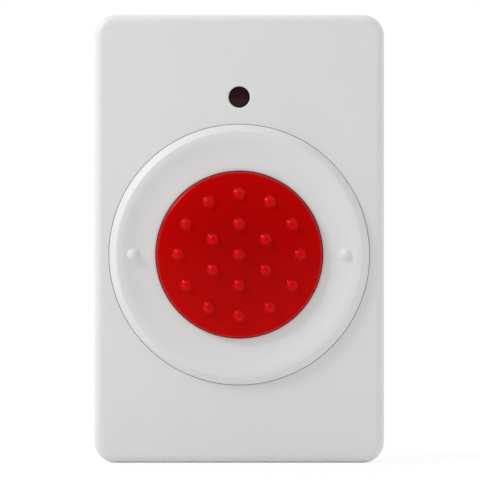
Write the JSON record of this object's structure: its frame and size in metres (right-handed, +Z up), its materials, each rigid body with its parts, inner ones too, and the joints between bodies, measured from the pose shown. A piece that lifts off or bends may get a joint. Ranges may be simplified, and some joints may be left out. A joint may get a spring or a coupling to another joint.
{
  "type": "wireless panic button",
  "caption": "Wall-mounted wireless panic button: white two-shell case, dished round bezel, large sprung red button with raised pips, status window, cell and radio board inside.",
  "frame": {"origin": "centre of the rear face, on the wall plane", "axes": "+X to the right as seen from the front, +Y into the wall, +Z up"},
  "size_m": [0.064, 0.0255, 0.099],
  "materials": {
    "white_shell": "satin",
    "red_cap": "satin",
    "smoked_window": "polished",
    "lamp_resin": "polished",
    "black_moulding": "matt",
    "switch_plunger": "matt",
    "board_laminate": "satin",
    "carrier_laminate": "satin",
    "screw_steel": "zinc plated",
    "spring_steel": "drawn wire",
    "contact_plate": "nickel plated",
    "tinned_lead": "tinned",
    "aerial_wire": "enamelled",
    "gilt_pin": "gilt",
    "shield_sheet": "tinned sheet",
    "crystal_can": "drawn can",
    "capacitor_can": "drawn can",
    "chip_resin": "matt",
    "resistor_body": "matt",
    "ceramic_body": "fired",
    "cell_jacket": "printed film"
  },
  "bodies": {
    "base": {"rear_base": "white_shell", "status_lamp": "lamp_resin", "status_lamp_leads": "tinned_lead", "lamp_spacer": "black_moulding", "circuit_board": "board_laminate", "board_screws": "screw_steel", "battery_cell": "cell_jacket", "battery_positive_contact": "contact_plate", "battery_negative_contact": "contact_plate", "battery_spring": "spring_steel", "alarm_switch_housing": "black_moulding", "alarm_switch_terminals": "tinned_lead", "tamper_switch_housing": "black_moulding", "tamper_switch_terminals": "tinned_lead", "coil_antenna": "aerial_wire", "radio_carrier": "carrier_laminate", "radio_shield": "shield_sheet", "controller_chip": "chip_resin", "controller_pins": "tinned_lead", "timing_crystal": "crystal_can", "reservoir_capacitor": "capacitor_can", "program_header": "black_moulding", "header_pins": "gilt_pin", "chip_resistors": "resistor_body", "chip_capacitors": "ceramic_body"},
    "cover": {"front_cover": "white_shell", "button_bezel": "white_shell", "status_window": "smoked_window", "return_spring": "spring_steel"},
    "button": {"push_button": "red_cap"},
    "alarm_plunger": {"alarm_switch_plunger": "switch_plunger"},
    "tamper_plunger": {"tamper_switch_plunger": "switch_plunger"}
  },
  "joints": [
    {"name": "cover_swing", "type": "hinge", "parent": "base", "child": "cover", "pos_m": [0, -0.007, 0.0495], "axis": [-1, 0, 0], "range_deg": [0, 30]},
    {"name": "button_press", "type": "slide", "parent": "cover", "child": "button", "axis": [0, 1, 0], "range_m": [0, 0.0015], "stiffness_N_per_m": 1500, "springref_m": -0.0015, "deforming": ["return_spring"]},
    {"name": "alarm_plunger_press", "type": "slide", "parent": "base", "child": "alarm_plunger", "axis": [0, 1, 0], "range_m": [0, 0.0003]},
    {"name": "tamper_plunger_rise", "type": "slide", "parent": "base", "child": "tamper_plunger", "axis": [0, -1, 0], "range_m": [0, 0.0008]}
  ],
  "couplings": [
    {"joint": "alarm_plunger_press", "follows": "button_press", "ratio": 0.2},
    {"joint": "tamper_plunger_rise", "follows": "cover_swing", "m_per_rad": 0.001527}
  ]
}
